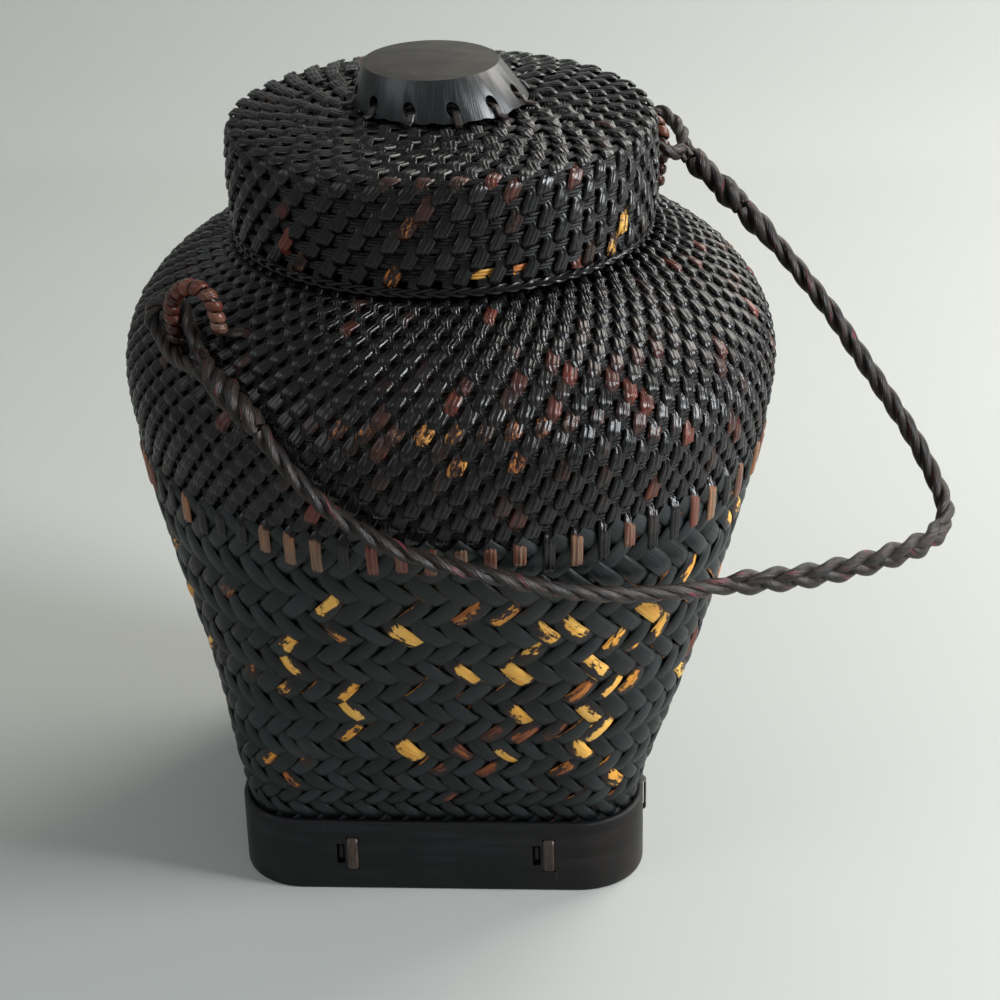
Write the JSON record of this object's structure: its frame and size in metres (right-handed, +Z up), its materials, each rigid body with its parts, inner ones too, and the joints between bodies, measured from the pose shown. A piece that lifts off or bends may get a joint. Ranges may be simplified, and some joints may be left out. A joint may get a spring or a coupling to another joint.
{
  "type": "rice basket",
  "caption": "Lidded rice basket with a square plaited foot, round twined shoulder, lift-off lid with a coconut shell knob, cane wrapped ears and a carrying rope.",
  "frame": {"origin": "on the ground under the middle of the belly", "axes": "+Z up, the front of the square foot faces -Y, the ears are on the left front and right back"},
  "size_m": [0.3134, 0.2506, 0.3072],
  "materials": {
    "band_bamboo": "blackened bent bamboo, dull sheen",
    "plaited_bamboo": "smoked split bamboo strips, matte, with worn golden patches",
    "twined_bamboo": "lacquered fine bamboo weave, low gloss",
    "cane_red": "split cane, red brown, glossy",
    "cane_dark": "split cane, blackened",
    "coconut_shell": "cut and polished coconut shell",
    "palm_rope": "laid palm fibre rope, dark brown"
  },
  "bodies": {
    "basket": {"foot_band": "band_bamboo", "foot_stitch_1": "cane_dark", "foot_stitch_2": "cane_dark", "foot_stitch_3": "cane_dark", "foot_stitch_4": "cane_dark", "foot_stitch_5": "cane_dark", "foot_stitch_6": "cane_dark", "foot_stitch_7": "cane_dark", "foot_stitch_8": "cane_dark", "plaited_body": "plaited_bamboo", "twined_shoulder": "twined_bamboo", "neck_collar": "twined_bamboo", "neck_rim": "cane_dark", "ear_core_left": "cane_dark", "ear_core_right": "cane_dark", "ear_wrap_left": "cane_red", "ear_wrap_right": "cane_red", "carrying_rope": "palm_rope", "rope_splice_left": "palm_rope", "rope_splice_right": "palm_rope", "rope_eye_left": "palm_rope", "rope_eye_right": "palm_rope"},
    "lid": {"lid_cap": "twined_bamboo", "lid_border": "twined_bamboo", "coconut_knob": "coconut_shell", "knob_lace_1": "cane_dark", "knob_lace_2": "cane_dark", "knob_lace_3": "cane_dark", "knob_lace_4": "cane_dark", "knob_lace_5": "cane_dark", "knob_lace_6": "cane_dark", "knob_lace_7": "cane_dark", "knob_lace_8": "cane_dark", "knob_lace_9": "cane_dark", "knob_lace_10": "cane_dark", "knob_lace_11": "cane_dark", "knob_lace_12": "cane_dark"}
  },
  "joints": [
    {"name": "lid_lift", "type": "slide", "parent": "basket", "child": "lid", "axis": [0, 0, 1], "range_m": [0, 0.12]}
  ]
}
